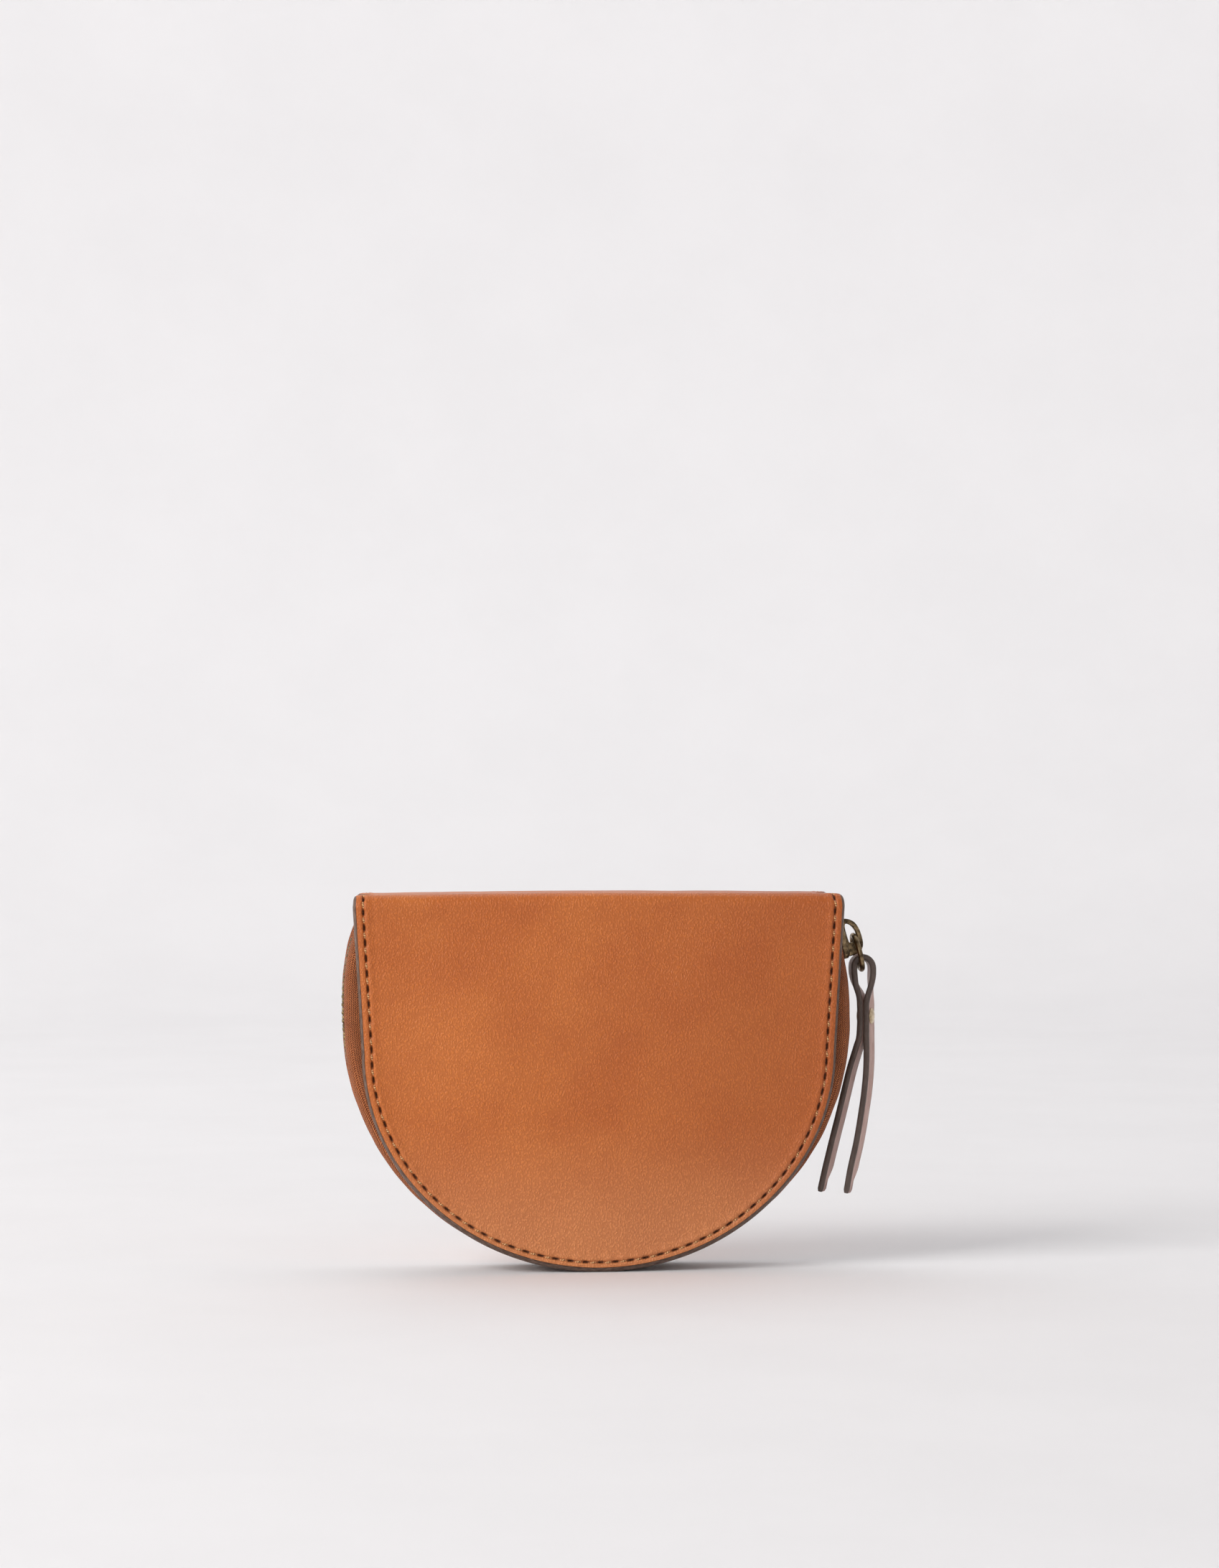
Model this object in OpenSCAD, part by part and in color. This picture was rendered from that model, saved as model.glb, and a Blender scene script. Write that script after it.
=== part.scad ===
// Half-moon zip-around purse, in millimetres.
// One leather cover is folded over a flat top. Its front and back halves are joined by a zip
// that follows the curved edge, and a leather thong hangs from the ring on the zip's slider.
// X runs across the purse, Y from the front to the back and Z up. The origin is on the surface
// that the purse stands on, under its middle.

/* [Purse] */
// Width across the top fold
body_w = 130; // [124:1:134]
// Width where the straight sides meet the curve
waist_w = 125; // [122:0.5:130]
// Height of the closed purse
body_h = 99; // [98:0.5:102]
// Height of the curved lower part
curve_h = 57.7; // [56:0.1:60]
// Depth of the closed purse, from the front face to the back face
body_t = 22; // [21:0.5:28]

/* [Leather] */
// Thickness of the outer leather
leather_t = 1.4; // [1:0.1:1.8]
// Thickness of the stiffener glued behind the outer leather
stiffener_t = 1; // [0.6:0.1:1.4]
// Thickness of the lining where it covers the zip tape
lining_t = 0.7; // [0.5:0.1:1]
// Distance from the edge to the middle of the stitch line
stitch_inset = 3; // [2.2:0.1:4]
// Spacing of the stitches
stitch_pitch = 4; // [3:0.5:6]

/* [Pockets] */
// Width of a pocket sheet inside the front
slot_w = 92; // [90:1:94]
// Height of the pockets' bottom edge
slot_bottom = 30; // [30:1:34]
// Thickness of a pocket sheet, and of the seam rim behind it
slot_sheet_t = 0.55; // [0.4:0.05:0.7]
// Height of the mouth of the rear card slot
slot_top = 80; // [76:1:84]
// Step down from one card slot's mouth to the next
slot_step = 10; // [8:1:12]

/* [Zip] */
// Radius of the zip's path, at the outside of the teeth
chain_r = 67.6; // [67.2:0.1:68]
// Height of the teeth above the standing surface
chain_lift = 0.3; // [0.1:0.1:0.8]
// Spacing of the teeth on one tape
tooth_pitch = 2.17; // [2:0.01:2.6]
// Thickness of the tape
tape_t = 0.55; // [0.4:0.05:0.6]
// Angle of the closed slider's middle above level
slider_rest = 15.6; // [14.5:0.1:16.5]

/* [Pull] */
// Outside diameter of the jump ring
ring_od = 10.7; // [10.4:0.1:11]
// Wire diameter of the jump ring
ring_wire = 1.4; // [1.2:0.1:1.5]
// Angle at which the ring hangs, away from straight down
ring_tilt = 14; // [12:0.5:16]
// Width of the leather thong
thong_w = 6; // [4:0.5:6]
// Thickness of the leather thong
thong_t = 1.6; // [1.2:0.1:1.6]

/* [Hidden] */

$fn = 96;

// Depths of the layers of one half, measured from the middle of the purse outwards
face_y = body_t / 2;
stiffener_y = face_y - leather_t;
tape_y = stiffener_y - stiffener_t;
lining_y = tape_y - tape_t;
room_y = lining_y - lining_t;

// Outline of a half: straight sides, then half an ellipse drawn with an odd number of
// segments, so that the lowest segment is level and the purse stands on it
curve_steps = 25;
curve_drop = curve_h / cos(90 / curve_steps);
mitre_gap = 0.05;
edge_margin = 1.2;

// Groove that holds the stitches, and how far below the fold it ends
groove_w = 1;
groove_d = 0.35;
groove_stop = 1.5;
stitch_w = 0.6;
stitch_fill = 0.78;

// Scoop in each end of the fold, which lets the pull past when the slider is at its open end
scoop_r = 9;
scoop_out = 3.8;

// Zip
chain_z = chain_r + chain_lift;
tooth_h = 2.25;
tooth_l = 0.9;
tooth_tip = 0.4;
tooth_bead = 1.4;
tooth_jaw = 2.6;
tape_r = chain_r - tooth_h / 2;
pitch_angle = tooth_pitch / chain_r * 180 / PI;
mesh_start = -11;
mesh_span = 180 - 2 * mesh_start;
tape_start = -21;
tape_span = 180 - 2 * tape_start;
tail_start = -26;
tail_half_w = 2.9;
tail_gap = 0.5;
tail_teeth = 4;
stop_angle = -20.6;
stop_l = 1.4;
flange_r = chain_r - 5;
flange_w = 6;
lining_r = flange_r - 0.4;

// Pockets
pocket_rim = 2;
pocket_stitch_pitch = 3;
pocket_stitch_t = 0.25;

// Slider, in its own frame: X away from the centre of the zip's path, Z along the path
slider_l = 9.6;
slider_w = 8.4;
slider_gap = 0.25;
shield_t = 1.15;
shield_r = chain_r + slider_gap;
shield_top_r = shield_r + shield_t;
base_r = chain_r - tooth_h - 0.3;
slot_low_r = tape_r - 0.68;
slot_high_r = tape_r + 0.62;
flange_y = 3.4;
neck_w = 0.6;
neck_z = [1.2, 3.4];
crown_w = 2.4;
crown_l = 8.8;
crown_foot = 0.6;
crown_h = 4.4;
crown_hole_r = 1.3;
crown_hole_x = shield_top_r + 2.1;
crown_hole_z = [0.7, 1.5];
ring_x = shield_top_r + 2.35;
ring_z = 0.45;

// Ring and thong
ring_r = (ring_od - ring_wire) / 2;
ring_pos = chain_place(slider_rest, ring_x, ring_z);
ring_low = ring_pos + 2 * ring_r * [sin(ring_tilt), -cos(ring_tilt)];
rivet_x = 1.1;
rivet_z = -12.4;
rivet_head_r = 2.1;
rivet_head_t = 0.5;
rivet_post_r = 0.9;
rivet_bore_r = 0.95;
layer_gap = 0.05;
// Middle line of the thong from the tip of its outer tail, over the ring and down to the tip
// of its inner tail, measured from the lowest point of the ring
outer_x = rivet_x + (thong_t + layer_gap) / 2;
inner_x = rivet_x - (thong_t + layer_gap) / 2;
thong_path = [
    [-3.4, -59.3], [-2.2, -52.6], [-0.7, -46], [0.5, -39], [1.4, -32], [outer_x, -25],
    [outer_x, -17], [outer_x, -8.5], [2.6, -3.5], [2.75, 0.6], [1.9, 2.5], [0.3, 3.3],
    [-1.5, 2.7], [-2.3, 0.8], [-1.8, -3.5], [inner_x, -8.5], [inner_x, -17],
    [-0.6, -20.5], [-2.4, -26], [-3.9, -32], [-5.6, -39], [-7.4, -46], [-9.1, -53],
    [-10.4, -58.8]
];

// ---- geometry helpers ----

// Place in the XZ plane of a point x out from the zip's centre and z along its path, on a
// slider whose middle is at the given angle above level
function chain_place(angle, x, z) =
    [x * cos(angle) - z * sin(angle), chain_z + x * sin(angle) + z * cos(angle)];

function unit(v) = v / norm(v);
function left_of(v) = [-v[1], v[0]];

// Direction in which a corner of a path moves so that both its sides shift by one unit
function corner_shift(p, i) =
    let (
        before = left_of(unit(i == 0 ? p[1] - p[0] : p[i] - p[i - 1])),
        after = i == len(p) - 1 ? before : left_of(unit(p[i + 1] - p[i])),
        middle = unit(before + after)
    )
    middle / (middle * before);

// Closed outline of a strip of thickness t along a path
function ribbon(p, t) = concat(
    [for (i = [0 : len(p) - 1]) p[i] + corner_shift(p, i) * t / 2],
    [for (i = [len(p) - 1 : -1 : 0]) p[i] - corner_shift(p, i) * t / 2]
);

// The curved lower edge from left to right, moved inwards
function curve_points(inset, steps) = [
    for (i = [0 : steps])
        let (a = 180 + 180 * i / steps)
        [(waist_w / 2 - inset) * cos(a), curve_h + (curve_drop - inset) * sin(a)]
];

// The whole edge of a half, from the top left corner round to the top right corner
function edge_points(inset) = concat(
    [[-body_w / 2 + inset, body_h]],
    curve_points(inset, curve_steps),
    [[body_w / 2 - inset, body_h]]
);

// Points about one stitch apart down the left side, round the curve and up the right side
side_stitches = floor((body_h - curve_h) / stitch_pitch);
curve_stitches = floor(PI / 2 * (waist_w / 2 + curve_h - 2 * stitch_inset) / stitch_pitch);
function side_x(z) =
    waist_w / 2 - stitch_inset + (body_w - waist_w) / 2 * (z - curve_h) / (body_h - curve_h);
function stitch_points() = concat(
    [for (i = [side_stitches : -1 : 1])
        [-side_x(curve_h + i * stitch_pitch), curve_h + i * stitch_pitch]],
    curve_points(stitch_inset, curve_stitches),
    [for (i = [1 : side_stitches])
        [side_x(curve_h + i * stitch_pitch), curve_h + i * stitch_pitch]]
);

// Extrudes an XZ outline from one depth to another
module plate(y0, y1) {
    translate([0, y1, 0]) rotate([90, 0, 0]) linear_extrude(y1 - y0) children();
}

// Extrudes a YZ outline across the purse
module across(width) {
    rotate([90, 0, 90]) linear_extrude(width, center = true) children();
}

// Sweeps an outline of radius and depth round the zip's path. Angles run clockwise seen from
// the front and start level on the right side
module round_chain(start, span) {
    translate([0, 0, chain_z]) rotate([-90, 0, 0]) rotate([0, 0, start])
        rotate_extrude(angle = span, $fn = 180) children();
}

// Puts a piece at an angle of the zip's path, X outwards
module on_chain(angle) {
    translate([0, 0, chain_z]) rotate([0, angle, 0]) children();
}

// Everything of a front half that lies below the 45 degree mitre with the spine
module below_mitre() {
    intersection() {
        children();
        across(2 * body_w) polygon([
            [-face_y - 1, -1], [face_y, -1], [face_y, body_h - body_t - mitre_gap],
            [-face_y, body_h - mitre_gap], [-face_y - 1, body_h - mitre_gap]
        ]);
    }
}

// Straight run of points no further apart than the pitch
function run(a, b, pitch) =
    let (n = ceil(norm(b - a) / pitch))
    [for (i = [0 : n]) a + (b - a) * i / n];

// A row of stitches lying on an XZ path, from one depth to another
module stitches(p, y0, y1) {
    for (i = [0 : len(p) - 2]) {
        step = p[i + 1] - p[i];
        middle = (p[i + 1] + p[i]) / 2;
        translate([middle[0], (y0 + y1) / 2, middle[1]])
            rotate([0, -atan2(step[1], step[0]), 0])
                cube([norm(step) * stitch_fill, y1 - y0, stitch_w], center = true);
    }
}

// ---- one half of the cover, drawn as the front ----

module half_leather() {
    below_mitre() difference() {
        plate(-face_y, -stiffener_y) polygon(edge_points(0));
        difference() {
            plate(-face_y - 1, -face_y + groove_d)
                polygon(edge_points(stitch_inset - groove_w / 2));
            plate(-face_y - 2, -face_y + 1)
                polygon(edge_points(stitch_inset + groove_w / 2));
            translate([-body_w, -face_y - 3, body_h - groove_stop]) cube([2 * body_w, 5, 5]);
        }
    }
}

module half_stiffener() {
    below_mitre() plate(-stiffener_y, -tape_y) polygon(edge_points(0));
}

// The lining lies on the stiffener, and steps over the flange of the zip tape
module half_lining() {
    tape_top = chain_z - tape_r * sin(tape_start) + 0.5;
    below_mitre() difference() {
        intersection() {
            plate(-tape_y, -room_y) polygon(edge_points(edge_margin));
            union() {
                round_chain(0, 360) translate([0, -face_y]) square([lining_r, body_t]);
                translate([-body_w, -face_y, tape_top]) cube([2 * body_w, body_t, body_h]);
            }
        }
        round_chain(tape_start - 2, tape_span + 4)
            translate([flange_r - flange_w - 0.1, -tape_y - 1])
                square([flange_w + 4, 1 + tape_t]);
    }
}

// The tape is flat where the teeth grip it, slopes to the cover and ends in a sewn flange.
// Beside the slider's two end places it is cut back, where the tails on the spine take over
module half_tape() {
    flange_mid_y = -lining_y - tape_t / 2;
    difference() {
        round_chain(tape_start, tape_span) polygon(ribbon([
            [tape_r, -tooth_bead], [tape_r, -4.4], [flange_r + 2.3, flange_mid_y + 1.5],
            [flange_r, flange_mid_y], [flange_r - flange_w, flange_mid_y]
        ], tape_t));
        for (start = [tape_start - 1, mesh_start + mesh_span])
            round_chain(start, mesh_start - tape_start + 1)
                translate([tape_r - 1, -tail_half_w - tail_gap])
                    square([2, tail_half_w + tail_gap]);
    }
}

// Metal that grips the front tape with its jaw: a tooth, or a stop when it is longer
module grip(angle, length) {
    on_chain(angle) linear_extrude(length, center = true) polygon([
        [chain_r - tooth_h, -tooth_tip], [chain_r, -tooth_tip], [chain_r, -tooth_jaw],
        [tape_r + tape_t / 2, -tooth_jaw], [tape_r + tape_t / 2, -tooth_bead],
        [tape_r - tape_t / 2, -tooth_bead], [tape_r - tape_t / 2, -tooth_jaw],
        [chain_r - tooth_h, -tooth_jaw]
    ]);
}

// Teeth of one tape, shifted by a part of the pitch so that the two tapes' teeth alternate
module half_teeth(shift) {
    for (i = [0 : floor(mesh_span / pitch_angle) - 1])
        grip(mesh_start + (i + shift) * pitch_angle, tooth_l);
}

module half_thread() {
    stitches(stitch_points(), -face_y, -face_y + groove_d);
}

// ---- zip ends, drawn on the right ----

// The two tapes past the last place of the slider, sewn under the spine
module tail_tape() {
    intersection() {
        for (side = [0, 1]) mirror([0, side, 0])
            round_chain(tail_start, mesh_start - 0.1 - tail_start)
                translate([tape_r - tape_t / 2, -tail_half_w])
                    square([tape_t, tail_half_w - tooth_bead]);
        translate([-body_w, -body_t, 0])
            cube([2 * body_w, 2 * body_t, body_h - leather_t - lining_t]);
    }
}

module tail_teeth() {
    for (i = [0 : tail_teeth - 1]) {
        grip(mesh_start - (i + 0.75) * pitch_angle, tooth_l);
        mirror([0, 1, 0]) grip(mesh_start - (i + 0.25) * pitch_angle, tooth_l);
    }
}

// ---- pockets, drawn on the front lining ----

// A pocket sheet with a seam rim behind it, down both sides and along the bottom
module pocket(level, width, bottom, top) {
    y0 = -room_y + 2 * level * slot_sheet_t;
    translate([-width / 2, y0 + slot_sheet_t, bottom])
        cube([width, slot_sheet_t, top - bottom]);
    difference() {
        translate([-width / 2, y0, bottom]) cube([width, slot_sheet_t, top - bottom]);
        translate([-width / 2 + pocket_rim, y0 - 1, bottom + pocket_rim])
            cube([width - 2 * pocket_rim, slot_sheet_t + 2, body_h]);
    }
}

// Stitches up both sides of a pocket between two heights, on the sheet of the given level
module side_thread(level, width, low, high) {
    face = -room_y + 2 * (level + 1) * slot_sheet_t;
    x = width / 2 - pocket_rim / 2;
    for (side = [-1, 1])
        stitches(run([side * x, low], [side * x, high], pocket_stitch_pitch),
            face, face + pocket_stitch_t);
}

// Stitches along the bottom of a pocket
module bottom_thread(level, width, bottom) {
    face = -room_y + 2 * (level + 1) * slot_sheet_t;
    x = width / 2 - pocket_rim;
    z = bottom + pocket_rim / 2;
    stitches(run([-x, z], [x, z], pocket_stitch_pitch), face, face + pocket_stitch_t);
}

// ---- slider, drawn in its own frame ----

// Outline of both shields seen from outside, wide where the tapes part
module shield_outline() {
    half = [
        [slider_w / 2 - 1.2, slider_l / 2], [slider_w / 2, slider_l / 2 - 1.2],
        [slider_w / 2, -0.4], [slider_w / 2 - 0.9, -2], [slider_w / 2 - 0.9, 0.8 - slider_l / 2],
        [slider_w / 2 - 1.7, -slider_l / 2]
    ];
    polygon(concat(half, [for (i = [len(half) - 1 : -1 : 0]) [-half[i][0], half[i][1]]]));
}

// Section of a shield with its two flanges, from its plain face to its channel and flange tips
module shield_section(plain, channel, tip) {
    w = slider_w / 2;
    polygon([
        [plain, -w], [plain, w], [tip, w], [tip, flange_y], [channel, flange_y],
        [channel, -flange_y], [tip, -flange_y], [tip, -w]
    ]);
}

module slider_at_rest() {
    on_chain(-slider_rest) children();
}

// ---- nodes of the back half ----

module back_leather() {
    color("peru") mirror([0, 1, 0]) half_leather();
}

module back_stiffener() {
    color("dimgray") mirror([0, 1, 0]) half_stiffener();
}

module back_lining() {
    color("tan") mirror([0, 1, 0]) half_lining();
}

module slip_pocket() {
    color("burlywood") mirror([0, 1, 0]) pocket(0, slot_w, slot_bottom, slot_top);
}

module slip_pocket_thread() {
    color("wheat") mirror([0, 1, 0]) {
        side_thread(0, slot_w, slot_bottom + pocket_rim, slot_top);
        bottom_thread(0, slot_w, slot_bottom);
    }
}

module back_tape() {
    color("sienna") mirror([0, 1, 0]) half_tape();
}

module back_teeth() {
    color("darkgoldenrod") mirror([0, 1, 0]) half_teeth(0.75);
}

module back_thread() {
    color("wheat") mirror([0, 1, 0]) half_thread();
}

// ---- nodes of the spine ----

// Cuts the scoops into both ends of a piece of the spine
module scooped() {
    difference() {
        children();
        for (side = [-1, 1]) translate([side * (body_w / 2 + scoop_out), 0, 0])
            cylinder(h = 2 * body_h, r = scoop_r);
    }
}

module spine_leather() {
    color("peru") scooped() across(body_w) polygon([
        [-face_y, body_h], [face_y, body_h],
        [stiffener_y, body_h - leather_t], [-stiffener_y, body_h - leather_t]
    ]);
}

module spine_lining() {
    top = body_h - leather_t;
    color("tan") scooped() across(body_w - 2 * edge_margin) polygon([
        [-stiffener_y, top], [stiffener_y, top],
        [stiffener_y - lining_t, top - lining_t], [lining_t - stiffener_y, top - lining_t]
    ]);
}

module tail_tape_right() {
    color("sienna") tail_tape();
}

module tail_tape_left() {
    color("sienna") mirror([1, 0, 0]) tail_tape();
}

module tail_teeth_right() {
    color("darkgoldenrod") tail_teeth();
}

module tail_teeth_left() {
    color("darkgoldenrod") mirror([1, 0, 0]) tail_teeth();
}

// Two separate stops at the closed end
module top_stops() {
    color("darkgoldenrod") for (side = [0, 1]) mirror([0, side, 0]) grip(stop_angle, stop_l);
}

// One stop that joins both tapes at the open end
module bottom_stop() {
    color("darkgoldenrod") mirror([1, 0, 0]) {
        for (side = [0, 1]) mirror([0, side, 0]) grip(stop_angle, stop_l);
        on_chain(stop_angle) translate([tape_r, 0, 0])
            cube([tooth_h, 3 * tooth_tip, stop_l], center = true);
    }
}

// ---- nodes of the front half ----

module front_leather() {
    color("peru") half_leather();
}

module front_stiffener() {
    color("dimgray") half_stiffener();
}

module front_lining() {
    color("tan") half_lining();
}

module card_slot_rear() {
    color("burlywood") pocket(0, slot_w, slot_bottom, slot_top);
}

module card_slot_middle() {
    color("burlywood") pocket(1, slot_w, slot_bottom, slot_top - slot_step);
}

module card_slot_front() {
    color("burlywood") pocket(2, slot_w, slot_bottom, slot_top - 2 * slot_step);
}

// The seam steps up from the front sheet to the sheets behind it
module card_slot_thread() {
    color("wheat") {
        bottom_thread(2, slot_w, slot_bottom);
        side_thread(2, slot_w, slot_bottom + pocket_rim, slot_top - 2 * slot_step);
        side_thread(1, slot_w, slot_top - 2 * slot_step, slot_top - slot_step);
        side_thread(0, slot_w, slot_top - slot_step, slot_top);
    }
}

module front_tape() {
    color("sienna") half_tape();
}

module front_teeth() {
    color("darkgoldenrod") half_teeth(0.25);
}

module front_thread() {
    color("wheat") half_thread();
}

// ---- nodes of the slider and its pull ----

// Two shields joined by a neck that runs between the teeth of the two tapes
module slider_body() {
    color("goldenrod") difference() {
        union() {
            intersection() {
                round_chain(-slider_rest - 10, 20) union() {
                    shield_section(shield_top_r, shield_r, slot_high_r);
                    shield_section(base_r - shield_t, base_r, slot_low_r);
                }
                slider_at_rest() translate([chain_r, 0, 0]) across(12) shield_outline();
            }
            slider_at_rest() translate([base_r - shield_t / 2, -neck_w / 2, neck_z[0]])
                cube([shield_top_r - base_r, neck_w, neck_z[1] - neck_z[0]]);
        }
        slider_at_rest() translate([shield_top_r - crown_foot, -crown_w / 2, -crown_l / 2])
            cube([5, crown_w, crown_l]);
    }
}

// The arch that the ring hangs in, with its feet let into the top shield
module slider_crown() {
    color("goldenrod") slider_at_rest() difference() {
        plate(-crown_w / 2, crown_w / 2) translate([shield_top_r, 0]) polygon([
            [-crown_foot, -crown_l / 2], [2.4, -crown_l / 2], [3.7, 0.8 - crown_l / 2],
            [crown_h, 2.4 - crown_l / 2], [crown_h, crown_l / 2 - 2.8],
            [3.6, crown_l / 2 - 1], [2.2, crown_l / 2], [-crown_foot, crown_l / 2]
        ]);
        for (z = crown_hole_z) translate([crown_hole_x, 0, z]) rotate([90, 0, 0])
            cylinder(h = 2 * crown_w, r = crown_hole_r, center = true);
        translate([crown_hole_x - crown_hole_r, -crown_w, crown_hole_z[0]])
            cube([2 * crown_hole_r, 2 * crown_w, crown_hole_z[1] - crown_hole_z[0]]);
    }
}

module jump_ring() {
    middle = (ring_pos + ring_low) / 2;
    color("darkgoldenrod") translate([middle[0], 0, middle[1]]) rotate([0, 90 - ring_tilt, 0])
        rotate_extrude() translate([ring_r, 0]) circle(ring_wire / 2);
}

// One strip of leather folded over the ring and riveted to itself
module pull_thong() {
    color("rosybrown") translate([ring_low[0], 0, ring_low[1]]) difference() {
        plate(-thong_w / 2, thong_w / 2) polygon(ribbon(thong_path, thong_t));
        translate([rivet_x, 0, rivet_z]) rotate([0, 90, 0])
            cylinder(h = 4 * thong_t, r = rivet_bore_r, center = true);
    }
}

// Domed side of the rivet, with the post that runs through both layers
module rivet_cap() {
    color("gold") translate([ring_low[0] + inner_x - thong_t / 2, 0, ring_low[1] + rivet_z])
        rotate([0, 90, 0]) {
            cylinder(h = 2 * thong_t + layer_gap, r = rivet_post_r);
            translate([0, 0, 2 * thong_t + layer_gap]) cylinder(h = rivet_head_t, r = rivet_head_r);
        }
}

// Washer side of the rivet
module rivet_base() {
    color("gold") translate([ring_low[0] + inner_x - thong_t / 2, 0, ring_low[1] + rivet_z])
        rotate([0, -90, 0]) cylinder(h = rivet_head_t, r = rivet_head_r);
}

back_leather();
back_stiffener();
back_lining();
slip_pocket();
slip_pocket_thread();
back_tape();
back_teeth();
back_thread();
spine_leather();
spine_lining();
tail_tape_right();
tail_tape_left();
tail_teeth_right();
tail_teeth_left();
top_stops();
bottom_stop();
front_leather();
front_stiffener();
front_lining();
card_slot_rear();
card_slot_middle();
card_slot_front();
card_slot_thread();
front_tape();
front_teeth();
front_thread();
slider_body();
slider_crown();
jump_ring();
pull_thong();
rivet_cap();
rivet_base();
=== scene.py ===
"""Looks of the half-moon zip-around purse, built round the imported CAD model.

Lengths in this script are millimetres in the CAD frame: X across, Y from front to back, Z up.
add_piece() turns them into metres. Pieces are drawn for the front half and mirrored in Y for
the back.
"""

import math

import bpy
import numpy as np
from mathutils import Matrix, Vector, noise


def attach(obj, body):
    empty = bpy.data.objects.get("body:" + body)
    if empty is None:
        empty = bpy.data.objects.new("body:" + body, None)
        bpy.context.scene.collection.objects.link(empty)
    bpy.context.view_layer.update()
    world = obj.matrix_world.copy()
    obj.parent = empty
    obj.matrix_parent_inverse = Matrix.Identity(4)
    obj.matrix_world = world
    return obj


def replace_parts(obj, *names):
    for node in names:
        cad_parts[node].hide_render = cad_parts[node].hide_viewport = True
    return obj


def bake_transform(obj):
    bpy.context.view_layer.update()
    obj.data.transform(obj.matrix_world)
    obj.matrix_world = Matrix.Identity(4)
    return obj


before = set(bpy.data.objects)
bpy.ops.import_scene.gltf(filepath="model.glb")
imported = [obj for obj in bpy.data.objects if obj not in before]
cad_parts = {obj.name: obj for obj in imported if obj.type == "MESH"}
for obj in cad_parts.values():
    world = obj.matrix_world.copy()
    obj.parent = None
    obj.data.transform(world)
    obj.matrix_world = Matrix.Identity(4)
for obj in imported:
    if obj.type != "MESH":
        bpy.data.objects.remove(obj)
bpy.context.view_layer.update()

MM = 0.001

# Cover: the CAD's outline and depths
BODY_W, WAIST_W, BODY_H, CURVE_H = 130.0, 125.0, 99.0, 57.7
FACE_Y, ROOM_Y = 11.0, 7.35
HALF_T, SPINE_T = 2.38, 1.38
FOLD_R = 3.2
SCOOP_DEPTH, SCOOP_W = 5.2, 5.2
TUCK, TUCK_START, TUCK_RISE = 2.2, 76.0, 18.0  # how much narrower the back is near the fold

# Painted edge: its width at the left, at the right and at the bottom, seen from the front
PAINT_LEFT, PAINT_RIGHT, PAINT_LOW, PAINT_RISE = 0.8, 0.95, 1.45, 45.0

# Stitches
STITCH_INSET, STITCH_PITCH = 2.6, 4.0
THREAD_R = 0.27

# Zip: radius and centre of its path, and where its teeth are
CHAIN_R, CHAIN_Z = 67.6, 67.9
TOOTH_H, TOOTH_PITCH, TAPE_T = 1.6, 2.17, 0.5
TAPE_R = 66.4
TAPE_MEET = 4.4  # distance from the middle where the tape beside the teeth becomes the sewn tape
PITCH_ANGLE = math.degrees(TOOTH_PITCH / CHAIN_R)
MESH_START, MESH_SPAN, TAIL_TEETH = -11.0, 202.0, 4
STOP_ANGLE = -20.6
TAPE_START, TAPE_SPAN = -25.5, 231.0

# Slider, ring and thong
SLIDER_ANGLE = 15.6
SHIELD_TOP_R, SHIELD_T, BASE_R = 69.0, 1.15, 65.05
RING_TOP, RING_LOW = (68.6006, 87.5209), (70.8505, 78.4971)
RING_WIRE = 1.4
THONG_W, THONG_T, THONG_TWIST = 6.0, 1.6, -26.0
RIVET_X, RIVET_Z = 1.1, -12.4

# Inside
LINING_T, LINING_R = 0.6, 62.2
SHEET_T = 0.55
POCKET_W, POCKET_BOTTOM = 92.0, 30.0
SLOT_TOPS, SLIP_TOP = (80.0, 70.0, 60.0), 80.0


def srgb(r, g, b):
    """A colour given as 0 to 255, as the shader takes it."""
    return tuple(((c / 255 + 0.055) / 1.055) ** 2.4 for c in (r, g, b)) + (1.0,)


def smooth(t):
    """Rises from 0 to 1 while t does, level at both ends."""
    t = np.clip(t, 0.0, 1.0)
    return t * t * (3 - 2 * t)


def noise_at(points, scale, seed):
    """Smooth noise from -1 to 1 at each point; scale is the size of its bumps."""
    shift = Vector((17.3 * seed, 5.1 * seed, 9.7 * seed))
    return np.array([noise.noise(Vector(p) / scale + shift) for p in points])


def curve_through(points, steps):
    """A smooth open curve through points, with so many steps between each two."""
    p = np.array(points, float)
    p = np.vstack([2 * p[0] - p[1], p, 2 * p[-1] - p[-2]])
    out = []
    for i in range(1, len(p) - 2):
        for t in np.arange(steps) / steps:
            a = 2 * p[i]
            b = p[i + 1] - p[i - 1]
            c = 2 * p[i - 1] - 5 * p[i] + 4 * p[i + 1] - p[i + 2]
            d = 3 * p[i] - p[i - 1] - 3 * p[i + 1] + p[i + 2]
            out.append((a + b * t + c * t * t + d * t ** 3) / 2)
    return np.array(out + [p[-2]])


def rounded_box(width, height, radius, corner=4):
    """Outline of a rectangle with rounded corners, round its centre, counterclockwise."""
    out = []
    for i, (sx, sy) in enumerate([(1, 1), (-1, 1), (-1, -1), (1, -1)]):
        for k in range(corner + 1):
            a = math.pi / 2 * (i + k / corner)
            out.append((
                sx * (width / 2 - radius) + radius * math.cos(a),
                sy * (height / 2 - radius) + radius * math.sin(a),
            ))
    return np.array(out)


# ---- meshes ----


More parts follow.
